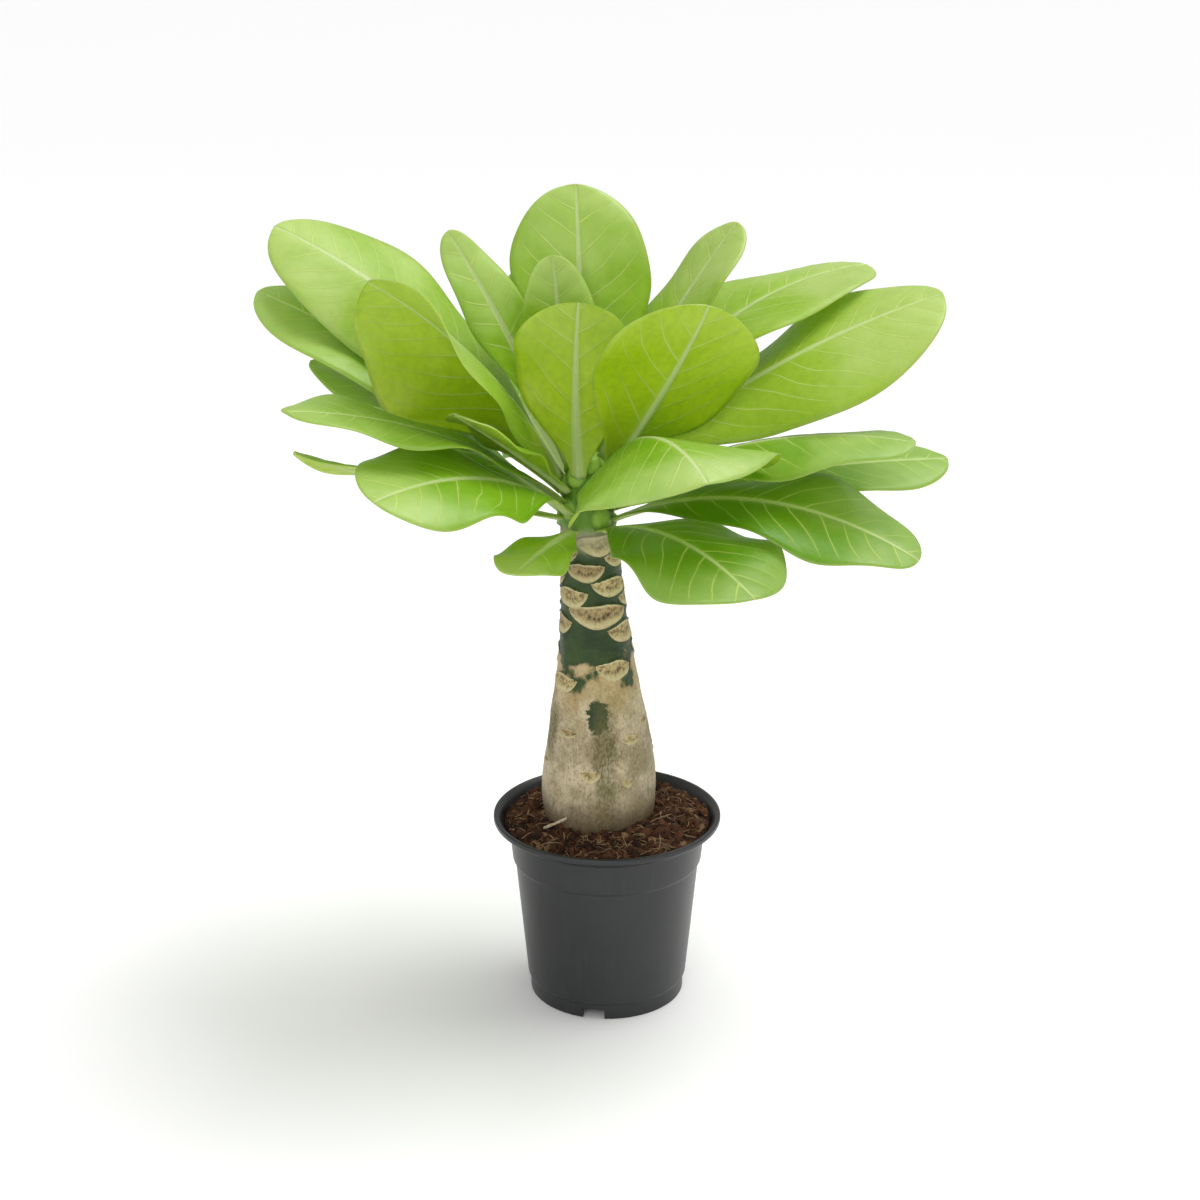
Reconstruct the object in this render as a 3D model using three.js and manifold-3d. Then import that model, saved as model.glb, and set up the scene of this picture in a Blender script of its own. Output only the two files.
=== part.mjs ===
import * as THREE from 'three';
import { mergeVertices } from 'three/addons/utils/BufferGeometryUtils.js';
import Module from 'manifold-3d';

// A hawaiian palm (a swollen bottle-shaped stem with a tuft of spoon-shaped leaves) in a round
// nursery pot. Millimetres and degrees, +Z up. Everything is laid out around the pot's axis with
// the foot at z = 0, and the finished group is then moved so that its box stands centred on the
// origin.

const pot = {
  height: 110,
  rimRadius: 65,
  mouthRadius: 61,
  throatRadius: 56,
  throatHeight: 101,
  stepHeight: 82,
  stepDepth: 1.5,
  footRadius: 44.5,
  footHeight: 9,
  floorHeight: 7,
  wall: 1.6,
  sides: 48,
  lipHeight: 3,
  notches: 3,
  notchWidth: 12.5,
  notchHeight: 6,
  notchDepth: 14,
  notchTurn: -100,
  drains: 6,
  drainRadius: 4,
  drainCircle: 30,
};

// The soil rises from the pot's mouth to a low mound around the foot of the stem.
const soil = {
  gap: 0.4,
  edgeRadius: 58.8,
  edgeHeight: 105.4,
  moundRadius: 31,
  moundHeight: 110.8,
};

const twig = { radius: 1, steps: 6, sides: 8 };

// The stem's outline: height, radius and how far its middle has leaned along X by then.
const stem = {
  sides: 24,
  rings: [
    [66, 12, -4],
    [74, 20, -4],
    [88, 26, -4],
    [104, 29.5, -4.5],
    [114, 32, -4.5],
    [124, 32.5, -4.5],
    [136, 31.5, -4.5],
    [152, 29.5, -4.5],
    [170, 27, -5],
    [186, 24, -6],
    [204, 21, -6.5],
    [218, 19.5, -7],
    [232, 18, -7.5],
    [250, 17, -8.5],
    [270, 15.5, -10],
    [288, 14, -11],
    [304, 12, -12],
    [314, 10, -12],
    [321, 6, -12],
  ],
};

const leafShape = {
  stations: 13,
  columns: 4,
  stalkShare: 0.13,
  stalkPower: 1.7,
  widestAt: 0.66,
  tipPower: 2.1,
  tipShare: 0.05,
  stationPower: 1.5,
  rolledBy: 0.45,
  flatFrom: 0.5,
  flatShare: 0.75,
  edgeThickness: 1.0,
  ribThickness: 2.6,
  ribTaper: 0.6,
  standOff: 0.7,
  waves: 2.3,
  waveShift: 1.7,
  sideShift: 2.1,
};

// One entry for each leaf. turn: heading around the stem, 0 along +X and 90 along +Y. base: height
// on the stem. climb: the angle above level at the stem, which droop takes away by the tip. sway
// turns the heading by the tip, roll turns the blade about its rib, fold lifts both halves and
// flattens out towards the tip, curl bends them towards their edges, and wave is how far the edge
// ripples.
const leafTable = [
  { turn: 95, base: 312, length: 155, width: 76, climb: 84, droop: 24, fold: 8 },
  { turn: 140, base: 318, length: 110, width: 42, climb: 84, droop: 2, roll: -30, fold: 18 },
  { turn: -106, base: 312, length: 96, width: 68, climb: 76, droop: -28, roll: 10, fold: 10 },
  { turn: -36, base: 310, length: 122, width: 86, climb: 51, droop: -12, roll: -35, fold: 8 },
  { turn: 193, base: 309, length: 154, width: 112, climb: 66, droop: 36, roll: 34, fold: -38 },
  { turn: 160, base: 308, length: 215, width: 80, climb: 54, droop: 34, roll: -25, fold: -12 },
  { turn: 164, base: 300, length: 203, width: 68, climb: 41, droop: 22, roll: -15, fold: 6 },
  { turn: 168, base: 290, length: 160, width: 60, climb: 36, droop: 15, fold: 6 },
  { turn: 210, base: 297, length: 176, width: 72, climb: 41, droop: 34, roll: -4, fold: 6, wave: 3.5 },
  { turn: 202, base: 288, length: 156, width: 50, climb: 15, droop: -8, roll: 14, fold: 4 },
  { turn: 229, base: 292, length: 152, width: 78, climb: 38, droop: 46, roll: -20, fold: 4, wave: 4 },
  { turn: 240, base: 282, length: 62, width: 44, climb: -2, droop: 10, fold: 8 },
  { turn: -62, base: 300, length: 138, width: 130, climb: 70, droop: 102, roll: 8, fold: -24 },
  { turn: -53, base: 283, length: 128, width: 94, climb: 20, droop: 45, fold: 4, wave: 4 },
  { turn: -20, base: 287, length: 176, width: 70, climb: 26, droop: 55, roll: 15, fold: 4, wave: 4 },
  { turn: -12, base: 298, length: 172, width: 64, climb: 36, droop: 44, roll: 4, fold: -18 },
  { turn: 10, base: 291, length: 192, width: 66, climb: 13, droop: 15, roll: 12, fold: 6 },
  { turn: 6, base: 306, length: 208, width: 96, climb: 41, droop: 24, roll: 19, fold: -12 },
  { turn: 30, base: 311, length: 206, width: 86, climb: 60, droop: 60, roll: 0, fold: 6 },
  { turn: 30, base: 317, length: 150, width: 54, climb: 64, droop: 18, fold: 10 },
  { turn: 160, base: 316, length: 140, width: 34, climb: 66, droop: 10, roll: -40, fold: 14 },
  { turn: 126, base: 306, length: 118, width: 38, climb: 72, droop: 14, fold: 12 },
  { turn: 208, base: 319, length: 32, width: 14, climb: 84, droop: 6, fold: 14 },
  { turn: 224, base: 304, length: 96, width: 42, climb: 38, droop: 5, fold: 8 },
  { turn: 85, base: 302, length: 165, width: 80, climb: 54, droop: 60, fold: 8 },
  { turn: 60, base: 296, length: 175, width: 78, climb: 42, droop: 50, fold: 8 },
  { turn: 122, base: 298, length: 170, width: 76, climb: 42, droop: 50, fold: 8 },
  { turn: 98, base: 286, length: 150, width: 74, climb: 20, droop: 45, fold: 6 },
];

const radians = THREE.MathUtils.degToRad;

// The stem's radius and lean at any height, straight between the rings.
function stemAt(height) {
  const rings = stem.rings;
  let i = 0;
  while (i < rings.length - 2 && rings[i + 1][0] < height) i += 1;
  const [z0, r0, x0] = rings[i];
  const [z1, r1, x1] = rings[i + 1];
  const share = THREE.MathUtils.clamp((height - z0) / (z1 - z0), 0, 1);
  return { radius: r0 + (r1 - r0) * share, x: x0 + (x1 - x0) * share };
}

// Joins rings of points, each with the same count and counter-clockwise about the direction of
// travel, into one closed body with a flat fan at each end.
function loft(rings) {
  const count = rings[0].length;
  const points = rings.flat();
  const faces = [];
  for (let k = 0; k < rings.length - 1; k += 1) {
    for (let i = 0; i < count; i += 1) {
      const a = k * count + i;
      const b = k * count + ((i + 1) % count);
      faces.push(a, b, b + count, a, b + count, a + count);
    }
  }
  const middle = (ring) => ring.reduce((sum, p) => sum.add(p), new THREE.Vector3()).divideScalar(count);
  const first = points.push(middle(rings[0])) - 1;
  const last = points.push(middle(rings[rings.length - 1])) - 1;
  const lastRing = (rings.length - 1) * count;
  for (let i = 0; i < count; i += 1) {
    const j = (i + 1) % count;
    faces.push(first, j, i);
    faces.push(last, lastRing + i, lastRing + j);
  }
  const geometry = new THREE.BufferGeometry().setFromPoints(points);
  geometry.setIndex(faces);
  return geometry;
}

function stemGeometry(grow = 0) {
  const rings = stem.rings.map(([height, radius, x]) => {
    const ring = [];
    for (let i = 0; i < stem.sides; i += 1) {
      const angle = (i / stem.sides) * Math.PI * 2;
      const reach = radius + grow;
      ring.push(new THREE.Vector3(x + reach * Math.cos(angle), reach * Math.sin(angle), height));
    }
    return ring;
  });
  rings[0].forEach((p) => (p.z -= grow));
  return loft(rings);
}

// How wide the blade is at a share s of its length, from the stalk to the rounded tip.
function leafOutline(s) {
  const { stalkShare, stalkPower, widestAt, tipPower, tipShare } = leafShape;
  if (s < widestAt) {
    return stalkShare + (1 - stalkShare) * Math.sin((Math.PI / 2) * (s / widestAt)) ** stalkPower;
  }
  const beyond = (s - widestAt) / (1 - widestAt);
  return Math.max(Math.sqrt(Math.max(1 - beyond ** tipPower, 0)), tipShare);
}

function leafGeometry(leaf, index) {
  const { stations, columns, stationPower, rolledBy, flatFrom, flatShare } = leafShape;
  const { edgeThickness, ribThickness, ribTaper, standOff, waves, waveShift, sideShift } = leafShape;
  const { turn, base, length, width, climb, droop } = leaf;
  const { sway = 0, roll = 0, fold = 8, curl = -12, wave = 2.5 } = leaf;
  const from = stemAt(base);
  const reach = from.radius + standOff + ribThickness * 0.5 * Math.sin(radians(Math.max(climb, 0)));
  const place = new THREE.Vector3(
    from.x + reach * Math.cos(radians(turn)),
    reach * Math.sin(radians(turn)),
    base,
  );
  const rings = [];
  let before = 0;
  for (let k = 0; k <= stations; k += 1) {
    const s = 1 - (1 - k / stations) ** stationPower;
    const heading = radians(turn + sway * s);
    const rise = radians(climb - droop * s);
    const along = new THREE.Vector3(
      Math.cos(rise) * Math.cos(heading),
      Math.cos(rise) * Math.sin(heading),
      Math.sin(rise),
    );
    place.addScaledVector(along, length * (s - before));
    before = s;
    const rollHere = radians(roll) * THREE.MathUtils.smoothstep(s, 0, rolledBy);
    const side = new THREE.Vector3(-Math.sin(heading), Math.cos(heading), 0).applyAxisAngle(along, rollHere);
    const up = new THREE.Vector3().crossVectors(along, side);
    const half = (width / 2) * leafOutline(s);
    const foldHere = fold * (1 - flatShare * THREE.MathUtils.smoothstep(s, flatFrom, 1));
    const upper = [];
    const lower = [];
    for (let j = -columns / 2; j <= columns / 2; j += 1) {
      const t = j / (columns / 2);
      const across = Math.abs(t);
      const angle = radians(foldHere + (curl * across) / 2);
      const phase = index * waveShift + (t > 0 ? 0 : sideShift);
      const ripple = wave * across ** 2 * Math.sin(waves * 2 * Math.PI * s + phase);
      const lift = half * across * Math.sin(angle) + ripple * leafOutline(s);
      const out = half * t * Math.cos(angle);
      const thicker = (ribThickness - edgeThickness) * (1 - across) * (1 - ribTaper * s);
      const thickness = edgeThickness + thicker;
      const middle = place.clone().addScaledVector(side, out).addScaledVector(up, lift);
      upper.push(middle.clone().addScaledVector(up, thickness / 2));
      lower.unshift(middle.clone().addScaledVector(up, -thickness / 2));
    }
    rings.push([...upper.reverse(), ...lower.reverse()]);
  }
  return loft(rings);
}

// Booleans for the pot and the soil.
const wasm = await Module();
wasm.setup();

function solidOf(geometry) {
  const bare = geometry.clone();
  bare.deleteAttribute('normal');
  bare.deleteAttribute('uv');
  const merged = mergeVertices(bare, 1e-4);
  return new wasm.Manifold(
    new wasm.Mesh({
      numProp: 3,
      vertProperties: new Float32Array(merged.attributes.position.array),
      triVerts: new Uint32Array(merged.index.array),
    }),
  );
}

function geometryOf(solid) {
  const mesh = solid.getMesh();
  const geometry = new THREE.BufferGeometry();
  geometry.setAttribute('position', new THREE.BufferAttribute(new Float32Array(mesh.vertProperties), 3));
  geometry.setIndex(new THREE.BufferAttribute(new Uint32Array(mesh.triVerts), 1));
  return geometry;
}

// A lathe profile is given from the foot up, as [radius, height], and turned about Z.
function turned(profile, sides) {
  const points = profile.map(([radius, height]) => new THREE.Vector2(radius, height));
  return new THREE.LatheGeometry(points, sides).rotateX(Math.PI / 2);
}

function around(count, circle, firstTurn, makeTool) {
  const tools = [];
  for (let i = 0; i < count; i += 1) {
    const turn = radians(firstTurn + (360 / count) * i);
    tools.push(makeTool().rotateZ(turn).translate(circle * Math.cos(turn), circle * Math.sin(turn), 0));
  }
  return tools;
}

// The wall's outer radius at a height between the foot ring and the throat under the rim.
function wallRadius(height) {
  const share = (height - pot.footHeight) / (pot.throatHeight - pot.footHeight);
  const smooth = pot.footRadius + 1.5 + (pot.throatRadius - pot.stepDepth - pot.footRadius - 1.5) * share;
  return height > pot.stepHeight ? smooth + pot.stepDepth : smooth;
}

function potGeometry() {
  const { height, rimRadius, mouthRadius, throatRadius, throatHeight, stepHeight } = pot;
  const { footRadius, footHeight, floorHeight, wall, lipHeight } = pot;
  const profile = [
    [0, floorHeight],
    [0, floorHeight - wall],
    [footRadius - 4, floorHeight - wall],
    [footRadius - 2.6, 0],
    [footRadius, 0],
    [footRadius, footHeight],
    [wallRadius(footHeight), footHeight + 1.5],
    [wallRadius(stepHeight), stepHeight],
    [wallRadius(stepHeight + 0.01), stepHeight + 1.5],
    [throatRadius, throatHeight],
    [throatRadius + 4.2, throatHeight + 3.2],
    [rimRadius - 1, height - lipHeight - 1],
    [rimRadius, height - lipHeight],
    [rimRadius, height - 0.8],
    [rimRadius - 0.8, height],
    [rimRadius - 2, height],
    [mouthRadius, height - 2],
    [throatRadius + 3, throatHeight + 3.5],
    [throatRadius - wall, throatHeight - 0.5],
    [wallRadius(stepHeight + 0.01) - wall, stepHeight + 1],
    [wallRadius(stepHeight) - wall, stepHeight - 1],
    [wallRadius(footHeight) - wall, floorHeight + 3],
    [footRadius - 4, floorHeight],
    [0, floorHeight],
  ];
  let solid = solidOf(turned(profile, pot.sides));
  const notch = () => new THREE.BoxGeometry(pot.notchDepth, pot.notchWidth, pot.notchHeight * 2);
  const drain = () => new THREE.CylinderGeometry(pot.drainRadius, pot.drainRadius, 20, 12).rotateX(Math.PI / 2);
  const cutters = [
    ...around(pot.notches, footRadius, pot.notchTurn, notch),
    ...around(pot.drains, pot.drainCircle, pot.notchTurn, drain),
  ];
  cutters.forEach((cutter) => (solid = solid.subtract(solidOf(cutter))));
  return geometryOf(solid);
}

function soilGeometry() {
  const inside = (height) => wallRadius(height) - pot.wall - soil.gap;
  const profile = [
    [0, pot.floorHeight + soil.gap],
    [pot.footRadius - 4.5, pot.floorHeight + soil.gap],
    [inside(pot.footHeight) - 0.4, pot.floorHeight + 4],
    [inside(pot.stepHeight - 2) - 0.3, pot.stepHeight - 2],
    [inside(pot.stepHeight - 2), pot.stepHeight + 1.5],
    [pot.throatRadius - pot.wall - soil.gap - 0.5, pot.throatHeight - 1],
    [soil.edgeRadius - 0.8, soil.edgeHeight - 0.9],
    [soil.edgeRadius - 0.3, soil.edgeHeight],
    [soil.moundRadius, soil.moundHeight],
    [0, soil.moundHeight],
  ];
  const filling = solidOf(turned(profile, pot.sides));
  return geometryOf(filling.subtract(solidOf(stemGeometry(soil.gap))));
}

// The twig lies with one end on the soil and leans its other end against the stem.
function twigGeometry() {
  const route = new THREE.CatmullRomCurve3([
    new THREE.Vector3(-36, -23.5, 110),
    new THREE.Vector3(-29, -26.5, 114),
    new THREE.Vector3(-22.5, -29, 119),
  ]);
  const section = new THREE.Shape().absarc(0, 0, twig.radius, 0, Math.PI * 2);
  const sweep = { extrudePath: route, steps: twig.steps, curveSegments: twig.sides };
  return new THREE.ExtrudeGeometry(section, sweep);
}

function finish(color, roughness) {
  return new THREE.MeshStandardMaterial({ color, roughness, metalness: 0 });
}

const group = new THREE.Group();

function place(name, geometry, material) {
  const mesh = new THREE.Mesh(geometry, material);
  mesh.name = name;
  group.add(mesh);
}

place('pot', potGeometry(), finish('#3c3d40', 0.45));
place('soil', soilGeometry(), finish('#4a2a1d', 0.95));
place('trunk', stemGeometry(), finish('#7d8a5c', 0.7));
place('twig', twigGeometry(), finish('#c9bfa6', 0.8));
leafTable.forEach((leaf, index) => {
  const name = `leaf_${String(index + 1).padStart(2, '0')}`;
  place(name, leafGeometry(leaf, index), finish('#7fb52a', 0.35));
});

// Stand the whole object centred on the origin.
const box = new THREE.Box3().setFromObject(group);
const centre = box.getCenter(new THREE.Vector3());
group.position.set(-centre.x, -centre.y, -box.min.z);

export default group;
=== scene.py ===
import math
import random

import bmesh
import bpy
import numpy as np
from mathutils import Matrix, Vector, noise


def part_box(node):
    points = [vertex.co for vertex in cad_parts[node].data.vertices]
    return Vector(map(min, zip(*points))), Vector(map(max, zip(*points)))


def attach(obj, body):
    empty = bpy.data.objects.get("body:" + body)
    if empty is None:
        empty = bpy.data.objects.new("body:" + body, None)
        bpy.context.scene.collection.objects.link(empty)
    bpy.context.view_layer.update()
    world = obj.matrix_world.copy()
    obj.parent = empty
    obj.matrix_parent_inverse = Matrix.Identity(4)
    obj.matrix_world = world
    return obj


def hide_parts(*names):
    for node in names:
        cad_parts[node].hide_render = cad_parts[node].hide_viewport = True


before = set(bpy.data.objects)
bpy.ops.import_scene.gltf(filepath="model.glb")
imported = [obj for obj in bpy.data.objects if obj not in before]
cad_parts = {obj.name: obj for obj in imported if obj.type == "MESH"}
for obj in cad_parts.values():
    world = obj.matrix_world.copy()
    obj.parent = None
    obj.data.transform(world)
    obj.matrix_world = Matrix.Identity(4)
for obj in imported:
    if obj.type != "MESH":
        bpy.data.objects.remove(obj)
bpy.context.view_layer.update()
mm = 0.001
potLow, potHigh = (Vector(corner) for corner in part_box("pot"))
potMid = (potLow + potHigh) / 2
potAxis = Vector((potMid.x, potMid.y, potLow.z))  # every piece below is laid out around this
scene = bpy.context.scene
print("frame loaded, pot axis at", [round(v, 4) for v in potAxis])


def smoothStep(low, high, value):
    share = np.clip((value - low) / (high - low), 0.0, 1.0)
    return share * share * (3 - 2 * share)


def rumple(x, y, z, octaves=3):
    return noise.fractal(Vector((x, y, z)), 0.9, 2.0, octaves)


class Wire:  # a socket that can be written into plain sums
    def __init__(self, finish, socket):
        self.finish = finish
        self.socket = socket

    def math(self, operation, other=None, swap=False):
        values = [self, other] if other is not None else [self]
        if swap:
            values.reverse()
        return self.finish.node("ShaderNodeMath", {"operation": operation}, dict(enumerate(values)))

    def __add__(self, other):
        return self.math("ADD", other)

    def __radd__(self, other):
        return self.math("ADD", other, True)

    def __sub__(self, other):
        return self.math("SUBTRACT", other)

    def __rsub__(self, other):
        return self.math("SUBTRACT", other, True)

    def __mul__(self, other):
        return self.math("MULTIPLY", other)

    def __rmul__(self, other):
        return self.math("MULTIPLY", other, True)

    def __truediv__(self, other):
        return self.math("DIVIDE", other)

    def __rtruediv__(self, other):
        return self.math("DIVIDE", other, True)


class Finish:
    def __init__(self, name):
        self.material = bpy.data.materials.new(name)
        self.material.use_nodes = True
        self.tree = self.material.node_tree
        self.shader = self.tree.nodes["Principled BSDF"]
        self.output = self.tree.nodes["Material Output"]

    def plug(self, socket, value):
        if isinstance(value, Wire):
            self.tree.links.new(value.socket, socket)
        elif isinstance(value, tuple) and len(value) == 3 and socket.type == "RGBA":
            socket.default_value = (*value, 1.0)
        else:
            socket.default_value = value

    def node(self, kind, settings=None, sockets=None, output=0):
        made = self.tree.nodes.new(kind)
        for key, value in (settings or {}).items():
            setattr(made, key, value)
        for key, value in (sockets or {}).items():
            self.plug(made.inputs[key], value)
        return Wire(self, made.outputs[output])

    def set(self, **values):
        for key, value in values.items():
            self.plug(self.shader.inputs[key.replace("_", " ")], value)

    def attribute(self, name):
        return self.node("ShaderNodeAttribute", {"attribute_name": name}, output="Fac")

    def place(self):
        return self.node("ShaderNodeTexCoord", output="Object")

    def stretched(self, source, x, y, z):
        return self.node("ShaderNodeVectorMath", {"operation": "MULTIPLY"}, {0: source, 1: (x, y, z)})

    def noise(self, place, scale, detail=3.0, rough=0.55):
        return self.node(
            "ShaderNodeTexNoise", None,
            {"Vector": place, "Scale": scale, "Detail": detail, "Roughness": rough})

    def cells(self, place, scale, feature="F1"):
        return self.node("ShaderNodeTexVoronoi", {"feature": feature},
                         {"Vector": place, "Scale": scale}, "Distance")

    def between(self, value, low, high, start=0.0, end=1.0):
        return self.node(
            "ShaderNodeMapRange", {"interpolation_type": "SMOOTHSTEP"},
            {"Value": value, "From Min": low, "From Max": high, "To Min": start, "To Max": end})

    def mix(self, share, first, second):
        return self.node("ShaderNodeMix", {"data_type": "RGBA"}, {0: share, 6: first, 7: second}, 2)

    def bump(self, height, distance, strength):
        return self.node(
            "ShaderNodeBump", None, {"Height": height, "Distance": distance, "Strength": strength})


def addPiece(name, points, faces, finish, replaces=None):
    mesh = bpy.data.meshes.new(name)
    mesh.from_pydata([tuple(p) for p in points], [], faces)
    mesh.validate()
    mesh.polygons.foreach_set("use_smooth", [True] * len(mesh.polygons))
    mesh.materials.append(finish.material)
    piece = bpy.data.objects.new(name, mesh)
    scene.collection.objects.link(piece)
    settle(piece, replaces)
    return piece


def settle(piece, replaces=None):
    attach(piece, "root")
    if replaces:
        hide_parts(*replaces)


def addValues(piece, name, values):
    layer = piece.data.attributes.new(name, "FLOAT", "POINT")
    layer.data.foreach_set("value", np.asarray(values, dtype=np.float32))


def ringFaces(ringCount, ringSize, closeEnds=True):
    faces = []
    for k in range(ringCount - 1):
        for i in range(ringSize):
            a = k * ringSize + i
            b = k * ringSize + (i + 1) % ringSize
            faces.append((a, b, b + ringSize, a + ringSize))
    if closeEnds:
        faces.append(tuple(reversed(range(ringSize))))
        last = (ringCount - 1) * ringSize
        faces.append(tuple(range(last, last + ringSize)))
    return faces


def softened(path, radius, steps=4):
    soft = [path[0]]
    for before, corner, after in zip(path, path[1:], path[2:]):
        a, p, b = (np.array(q, dtype=float) for q in (before, corner, after))
        reach = min(radius, 0.45 * np.linalg.norm(a - p), 0.45 * np.linalg.norm(b - p))
        start = p + (a - p) / np.linalg.norm(a - p) * reach
        end = p + (b - p) / np.linalg.norm(b - p) * reach
        for k in range(steps + 1):
            t = k / steps
            soft.append(tuple((1 - t) ** 2 * start + 2 * t * (1 - t) * p + t * t * end))
    soft.append(path[-1])
    return soft


def latheMesh(name, path, sides):
    rim = np.linspace(0, 2 * math.pi, sides, endpoint=False)
    ring = [(r, z) for r, z in path if r > 1e-6]
    points = [(r * mm * math.cos(a), r * mm * math.sin(a), z * mm) for r, z in ring for a in rim]
    faces = ringFaces(len(ring), sides, False)
    points.append((0, 0, path[0][1] * mm))
    points.append((0, 0, path[-1][1] * mm))
    low, high = len(points) - 2, len(points) - 1
    last = (len(ring) - 1) * sides
    for i in range(sides):
        j = (i + 1) % sides
        faces.append((low, j, i))
        faces.append((high, last + i, last + j))
    points = [Vector(p) + potAxis for p in points]
    mesh = bpy.data.meshes.new(name)
    mesh.from_pydata(points, [], faces)
    return mesh


pot = {  # millimetres and degrees
    "height": (potHigh.z - potLow.z) / mm,
    "rimRadius": (potHigh.x - potLow.x) / 2 / mm,
    "lipHeight": 3,
    "mouthRadius": 61,
    "throatRadius": 56,
    "throatHeight": 101,
    "stepHeight": 82,
    "stepDepth": 1.5,
    "footRadius": 44.5,
    "footHeight": 9,
    "floorHeight": 7,
    "wall": 1.6,
    "sides": 192,
    "notches": 3,
    "notchWidth": 12.5,
    "notchHeight": 6,
    "notchDepth": 14,
    "firstTurn": -100,
    "drains": 6,
    "drainRadius": 4,
    "drainCircle": 30,
    "edgeSoftness": 0.9,
    "colour": (0.011, 0.0115, 0.0135),
}


def wallRadius(height):
    share = (height - pot["footHeight"]) / (pot["throatHeight"] - pot["footHeight"])
    low = pot["footRadius"] + 1.5
    straight = low + (pot["throatRadius"] - pot["stepDepth"] - low) * share
    return straight + (pot["stepDepth"] if height > pot["stepHeight"] else 0)


def potFinish():
    finish = Finish("satinPotPlastic")
    place = finish.place()
    cloud = finish.noise(place, 22, 4)
    streak = finish.noise(finish.stretched(place, 260, 260, 9), 1, 3)
    grain = finish.noise(place, 1400, 2)
    speck = finish.between(finish.cells(place, 420), 0.0, 0.16, 1.0, 0.0)
    specks = speck * finish.between(finish.noise(place, 60, 2), 0.56, 0.66)
    colour = finish.mix(finish.between(cloud, 0.35, 0.7), pot["colour"], (0.016, 0.017, 0.019))
    colour = finish.mix(finish.between(streak, 0.52, 0.75, 0.0, 0.4), colour, (0.026, 0.026, 0.028))
    colour = finish.mix(specks * 0.35, colour, (0.16, 0.15, 0.13))
    finish.set(Base_Color=colour, Roughness=0.27 + 0.14 * cloud + 0.1 * streak)
    finish.set(Normal=finish.bump(grain * 0.5 + cloud * 2, 0.00012, 0.55))
    finish.set(Specular_IOR_Level=0.5)
    return finish


def makePot():
    height, rim, mouth = pot["height"], pot["rimRadius"], pot["mouthRadius"]
    throat, throatHeight, step = pot["throatRadius"], pot["throatHeight"], pot["stepHeight"]
    foot, footHeight, floor, wall = pot["footRadius"], pot["footHeight"], pot["floorHeight"], pot["wall"]
    profile = softened([
        (0, floor - wall),
        (foot - 4, floor - wall),
        (foot - 2.6, 0),
        (foot, 0),
        (foot, footHeight),
        (wallRadius(footHeight), footHeight + 1.5),
        (wallRadius(step), step),
        (wallRadius(step + 0.01), step + 1.2),
        (throat, throatHeight),
        (throat + 4.2, throatHeight + 3.2),
        (rim - 1, height - pot["lipHeight"] - 1),
        (rim, height - pot["lipHeight"]),
        (rim, height - 0.6),
        (rim - 0.9, height),
        (rim - 2.2, height - 0.2),
        (mouth, height - 2),
        (throat + 3, throatHeight + 3.5),
        (throat - wall, throatHeight - 0.5),
        (wallRadius(step + 0.01) - wall, step + 1),
        (wallRadius(step) - wall, step - 1),
        (wallRadius(footHeight) - wall, floor + 3),
        (foot - 4, floor),
        (0, floor),
    ], pot["edgeSoftness"])
    shell = bpy.data.objects.new("potShell", latheMesh("potShell", profile, pot["sides"]))
    scene.collection.objects.link(shell)
    cutters = bmesh.new()

    def spread(count, reach):
        for i in range(count):
            turn = Matrix.Rotation(math.radians(pot["firstTurn"] + 360 / count * i), 4, "Z")
            yield Matrix.Translation(potAxis) @ turn @ Matrix.Translation((reach * mm, 0, 0))

    notch = (pot["notchDepth"] * mm, pot["notchWidth"] * mm, 2 * pot["notchHeight"] * mm, 1)
    for place in spread(pot["notches"], foot):
        bmesh.ops.create_cube(cutters, size=1, matrix=place @ Matrix.Diagonal(notch))
    drain = pot["drainRadius"] * mm
    for place in spread(pot["drains"], pot["drainCircle"]):
        bmesh.ops.create_cone(cutters, cap_ends=True, segments=32, depth=20 * mm, radius1=drain,
                              radius2=drain, matrix=place)
    cutterMesh = bpy.data.meshes.new("potCutters")
    cutters.to_mesh(cutterMesh)
    cutters.free()
    cutter = bpy.data.objects.new("potCutters", cutterMesh)
    scene.collection.objects.link(cutter)
    cut = shell.modifiers.new("cut", "BOOLEAN")
    cut.operation = "DIFFERENCE"
    cut.solver = "EXACT"
    cut.object = cutter
    finished = bpy.data.meshes.new_from_object(shell.evaluated_get(bpy.context.evaluated_depsgraph_get()))
    shell.modifiers.clear()
    shell.data = finished
    bpy.data.objects.remove(cutter)
    finished.materials.clear()
    finished.materials.append(potFinish().material)
    finished.polygons.foreach_set("use_smooth", [True] * len(finished.polygons))
    finished.set_sharp_from_angle(angle=math.radians(38))
    settle(shell, ["pot"])


makePot()
print("pot made")


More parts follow.
